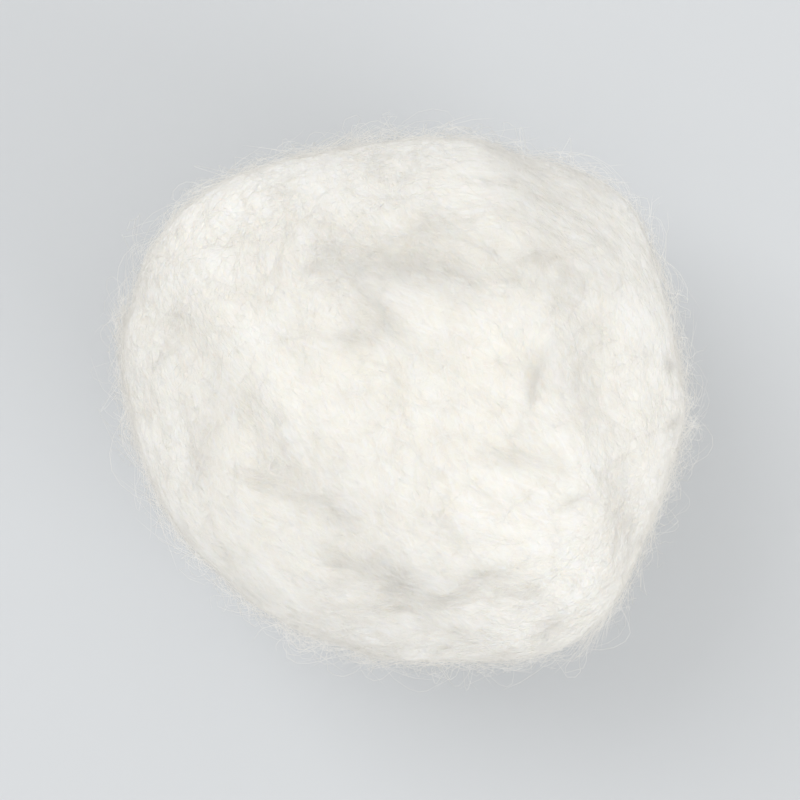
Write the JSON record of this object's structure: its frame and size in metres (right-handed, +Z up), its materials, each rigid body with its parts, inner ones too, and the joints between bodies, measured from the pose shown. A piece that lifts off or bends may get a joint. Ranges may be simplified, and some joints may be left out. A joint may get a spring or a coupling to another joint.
{
  "type": "cotton ball",
  "caption": "Soft, slightly irregular ball of bleached cotton, rolled from a length of sliver, with overlapping turns and a small flat spot that it lies on.",
  "frame": {"origin": "under the middle of the ball's box, at the level of the flat spot that it lies on", "axes": "+Z up, +X along the width, which is the longest side, and +Y along the depth"},
  "size_m": [0.037, 0.0344, 0.0325],
  "materials": {
    "cotton": "matt, fluffy"
  },
  "bodies": {
    "root": {"cotton_ball": "cotton"}
  },
  "joints": []
}
